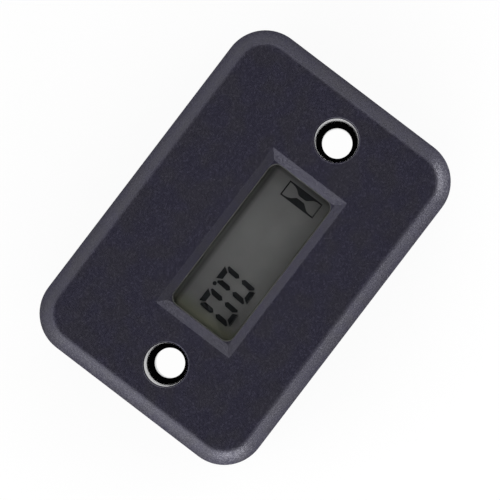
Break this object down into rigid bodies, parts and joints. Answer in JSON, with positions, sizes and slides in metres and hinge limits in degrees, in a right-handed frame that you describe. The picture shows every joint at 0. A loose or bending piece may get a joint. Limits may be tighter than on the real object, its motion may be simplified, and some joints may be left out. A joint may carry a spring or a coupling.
{
  "type": "hour meter",
  "caption": "Self-powered hour meter: shallow black rounded case with a recessed liquid crystal display between two recessed through holes for mounting screws.",
  "frame": {"origin": "middle of the plane of the back rim, which is the bottom centre of the part's box", "axes": "+X along the display in reading direction, +Y up the figures, +Z out of the face"},
  "size_m": [0.054, 0.0368, 0.014],
  "materials": {
    "case_plastic": "fine spark-eroded grain",
    "cover_plastic": "fine spark-eroded grain",
    "clear_pane": "polished clear acrylic",
    "adhesive": "cured clear adhesive",
    "polariser": "smooth film",
    "reflector": "matt silver-grey film",
    "display_glass": "polished",
    "seal_resin": "cured resin",
    "display_dark": "dark figures behind glass",
    "frame_plastic": "moulded",
    "strip_rubber": "silicone rubber with carbon layers",
    "board_laminate": "green solder resist on glass laminate",
    "black_resin": "poured resin",
    "nickel": "nickel plated",
    "capacitor_ceramic": "sintered ceramic",
    "resistor_ceramic": "glazed ceramic",
    "screw_steel": "stainless steel",
    "insulator_paper": "polyimide-coated paper",
    "foam": "closed-cell foam",
    "gasket_rubber": "smooth rubber"
  },
  "bodies": {
    "root": {"front_case": "case_plastic", "window_lens": "clear_pane", "lens_adhesive": "adhesive", "lcd_front_polariser": "polariser", "lcd_front_glass": "display_glass", "lcd_seal": "seal_resin", "lcd_segments": "display_dark", "lcd_rear_glass": "display_glass", "lcd_rear_polariser": "reflector", "lcd_frame": "frame_plastic", "upper_connector_strip": "strip_rubber", "lower_connector_strip": "strip_rubber", "circuit_board": "board_laminate", "controller_blob": "black_resin", "clock_crystal": "nickel", "vibration_switch": "nickel", "capacitors": "capacitor_ceramic", "resistors": "resistor_ceramic", "board_screws": "screw_steel", "battery_insulator": "insulator_paper", "battery_minus_tab": "nickel", "coin_cell": "nickel", "battery_plus_tab": "nickel", "battery_foam_pad": "foam", "rear_gasket": "gasket_rubber", "rear_cover": "cover_plastic", "cover_screws": "screw_steel"}
  },
  "joints": []
}
